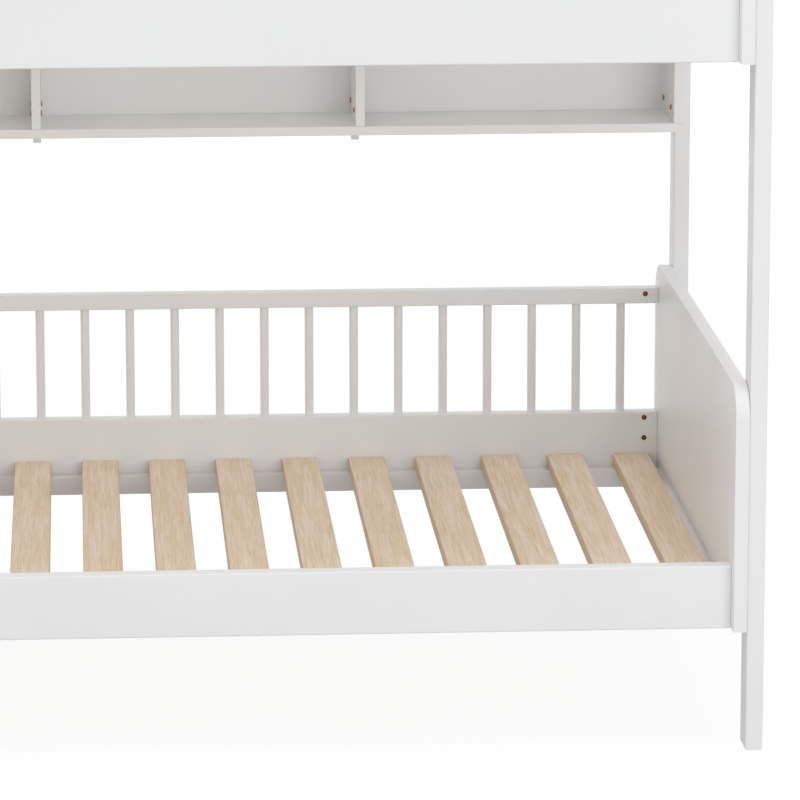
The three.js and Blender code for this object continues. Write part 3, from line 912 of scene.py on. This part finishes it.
def add_bolt_head(bm, settings, face, outward):
    """A sunk bolt head with a hexagonal key hole; its top lies a little under the board's face."""
    sides = 48
    clearance = 0.1 * MM
    foot_height, foot_ease = 0.3 * MM, 0.2 * MM
    shoulder_height, shoulder_ease = 0.7 * MM, 0.3 * MM
    crown_height, crown_ease = 0.2 * MM, 0.8 * MM
    key_depth, key_chamfer, key_flare = 3 * MM, 0.3 * MM, 0.5 * MM
    tip_depth, tip_radius = 0.4 * MM, 0.6 * MM
    radius = settings.head_diameter / 2
    foot = Vector(face) - outward * (settings.head_sink - clearance)
    top = settings.head_height
    floor = top - key_depth
    key = hexagon_ring(settings.key_width)
    profile = [
        (0, radius - foot_ease),
        (foot_height, radius),
        (top - shoulder_height, radius),
        (top - crown_height, radius - shoulder_ease),
        (top, radius - crown_ease),
        (top, hexagon_ring(settings.key_width + key_flare)),
        (top - key_chamfer, key),
        (floor, key),
        (floor - tip_depth, tip_radius),
    ]
    # The key hole's faces take DARK, painted shade in the recess
    add_turned(bm, foot, outward, profile, sides, [(6, DARK)])


def add_screw_head(bm, settings, face, outward):
    """A low domed screw head on a board's face, with a hexagonal key hole."""
    sides = 36
    sunk, rim_height, shoulder_height = 1 * MM, 0.3 * MM, 0.5 * MM
    key_width, key_chamfer, key_floor = 2.5 * MM, 0.1 * MM, 0.1 * MM
    radius = settings.screw_diameter / 2
    top = settings.screw_height
    key = hexagon_ring(key_width)
    profile = [
        (-sunk, radius),
        (rim_height, radius),
        (top - shoulder_height, 0.82 * radius),
        (top - key_chamfer, 0.55 * radius),
        (top, 0.42 * radius),
        (top - key_chamfer, key),
        (key_floor, key),
    ]
    # The key hole's faces take DARK, painted shade in the recess
    add_turned(bm, face, outward, profile, sides, [(5, DARK)])


class BUNKBED_OT_set_stage(bpy.types.Operator):
    """Lay the floor, light it softly and set up the camera"""

    bl_idname = "bunkbed.set_stage"
    bl_label = "Set the Stage"

    def execute(self, context):
        studio = context.scene.bunk_bed.studio
        self.lay_floor(context, studio)
        self.light_room(context, studio)
        self.hang_softboxes(context, studio)
        self.add_camera(context, studio)
        context.scene.view_settings.view_transform = "Standard"
        return {"FINISHED"}

    def lay_floor(self, context, studio):
        bm = bmesh.new()
        bmesh.ops.create_circle(bm, cap_ends=True, segments=64, radius=studio.floor_radius)
        mesh = bpy.data.meshes.new("floor")
        bm.to_mesh(mesh)
        bm.free()
        floor = bpy.data.objects.new("floor", mesh)
        context.scene.collection.objects.link(floor)
        floor.data.materials.append(self.floor_material(studio))

    def floor_material(self, studio):
        """Matt pale floor that the camera sees nearly white, with a faint shadow near the bed."""
        shadow_reach, white_from = 2.5, 6.0
        near_share, glow_strength = 0.8, 1.12
        floor = Finish("floor")
        nodes = floor.tree.nodes
        floor.feed(floor.shader.inputs["Base Color"], [studio.floor_tone] * 3)
        floor.feed(floor.shader.inputs["Roughness"], 0.9)
        floor.feed(floor.shader.inputs["Specular IOR Level"], 0.0)
        glow = floor.node("ShaderNodeEmission")
        floor.feed(glow.inputs["Color"], (1.0, 1.0, 1.0))
        both = floor.node("ShaderNodeMixShader")
        distance = floor.node("ShaderNodeVectorMath", operation="LENGTH")
        floor.link(floor.place, distance.inputs[0])
        white_share = floor.spread(distance.outputs["Value"], shadow_reach, white_from, near_share, 1.0)
        seen = floor.maths("MULTIPLY", seen_directly(floor.tree), white_share)
        floor.link(seen, both.inputs["Fac"])
        floor.link(floor.shader.outputs["BSDF"], both.inputs[1])
        floor.link(glow.outputs["Emission"], both.inputs[2])
        floor.feed(glow.inputs["Strength"], glow_strength)
        floor.link(both.outputs["Shader"], nodes["Material Output"].inputs["Surface"])
        return floor.material

    def light_room(self, context, studio):
        """White all round: full where it is seen directly, and softer as light on the bed."""
        world = bpy.data.worlds.new("studio")
        context.scene.world = world
        world.use_nodes = True
        tree = world.node_tree
        backdrop = tree.nodes["Background"]
        backdrop.inputs["Color"].default_value = (1, 1, 1, 1)
        strength = tree.nodes.new("ShaderNodeMapRange")
        strength.inputs["To Min"].default_value = studio.ambient
        strength.inputs["To Max"].default_value = 1.0
        tree.links.new(seen_directly(tree), strength.inputs["Value"])
        tree.links.new(strength.outputs["Result"], backdrop.inputs["Strength"])

    def hang_softboxes(self, context, studio):
        floor_middle, bed_middle, bed_front = (0, 0, 0), (0, 0, 0.7), (0, -0.4, 0.7)
        self.add_softbox(context, "front_softbox", (2.1, -5.9, 1.4), bed_middle, (4, 2), studio.front)
        self.add_softbox(context, "high_softbox", (0, -1.8, 3.2), bed_front, (4, 1.5), studio.high)
        self.add_softbox(context, "left_softbox", (-5, 0, 2), bed_middle, (3, 3), studio.left)
        self.add_softbox(context, "top_softbox", (0, -0.3, 6.5), floor_middle, (7, 6), studio.top)

    def add_softbox(self, context, name, place, target, size, power):
        lamp = bpy.data.lights.new(name, "AREA")
        lamp.shape = "RECTANGLE"
        lamp.size, lamp.size_y = size
        lamp.energy = power
        obj = bpy.data.objects.new(name, lamp)
        obj.location = place
        obj.rotation_mode = "QUATERNION"
        obj.rotation_quaternion = (Vector(target) - Vector(place)).to_track_quat("-Z", "Y")
        obj.visible_camera = False
        obj.visible_glossy = False
        context.scene.collection.objects.link(obj)

    def add_camera(self, context, studio):
        camera = bpy.data.objects.new("camera", bpy.data.cameras.new("camera"))
        camera.data.lens = studio.lens
        camera.location = studio.camera_place
        camera.rotation_mode = "QUATERNION"
        camera.rotation_quaternion = Vector(studio.camera_aim).to_track_quat("-Z", "Y")
        camera.data.clip_end = SIGHT_LIMIT
        context.scene.collection.objects.link(camera)
        context.scene.camera = camera


def seen_directly(tree):
    """1 for what the camera, a mirror image or a glass sees, and 0 for light that falls on other things."""
    path = tree.nodes.new("ShaderNodeLightPath")
    seen = path.outputs["Is Camera Ray"]
    for kind in ("Is Glossy Ray", "Is Transmission Ray"):
        either = tree.nodes.new("ShaderNodeMath")
        either.operation = "MAXIMUM"
        tree.links.new(seen, either.inputs[0])
        tree.links.new(path.outputs[kind], either.inputs[1])
        seen = either.outputs["Value"]
    return seen


class BUNKBED_PT_looks(bpy.types.Panel):
    """Lists the pieces of the bunk bed and their settings"""

    bl_idname = "BUNKBED_PT_looks"
    bl_label = "Bunk Bed"
    bl_space_type = "VIEW_3D"
    bl_region_type = "UI"
    bl_category = "Bunk Bed"

    def draw(self, context):
        settings = context.scene.bunk_bed
        for operator in OPERATORS:
            self.layout.operator(operator.bl_idname)
        for group_name in settings.bl_rna.properties.keys():
            group = getattr(settings, group_name)
            if isinstance(group, bpy.types.PropertyGroup):
                box = self.layout.box()
                box.label(text=group_name.title())
                for name in group.__annotations__:
                    box.prop(group, name)


OPERATORS = (
    BUNKBED_OT_set_stage,
    BUNKBED_OT_paint_boards,
    BUNKBED_OT_make_guards,
    BUNKBED_OT_dress_slats,
    BUNKBED_OT_lay_tapes,
    BUNKBED_OT_fit_nuts,
    BUNKBED_OT_fit_bolts,
)
SETTINGS = (
    PaintSettings,
    WoodSettings,
    GuardSettings,
    FastenerSettings,
    TapeSettings,
    StudioSettings,
    BunkBedSettings,
)
CLASSES = SETTINGS + OPERATORS + (BUNKBED_PT_looks,)


def register():
    for each in CLASSES:
        bpy.utils.register_class(each)
    bpy.types.Scene.bunk_bed = PointerProperty(type=BunkBedSettings)


def unregister():
    del bpy.types.Scene.bunk_bed
    for each in reversed(CLASSES):
        bpy.utils.unregister_class(each)


def main():
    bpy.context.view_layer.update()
    register()
    for operator in OPERATORS:
        category, name = operator.bl_idname.split(".")
        getattr(getattr(bpy.ops, category), name)()


if __name__ == "__main__":
    main()
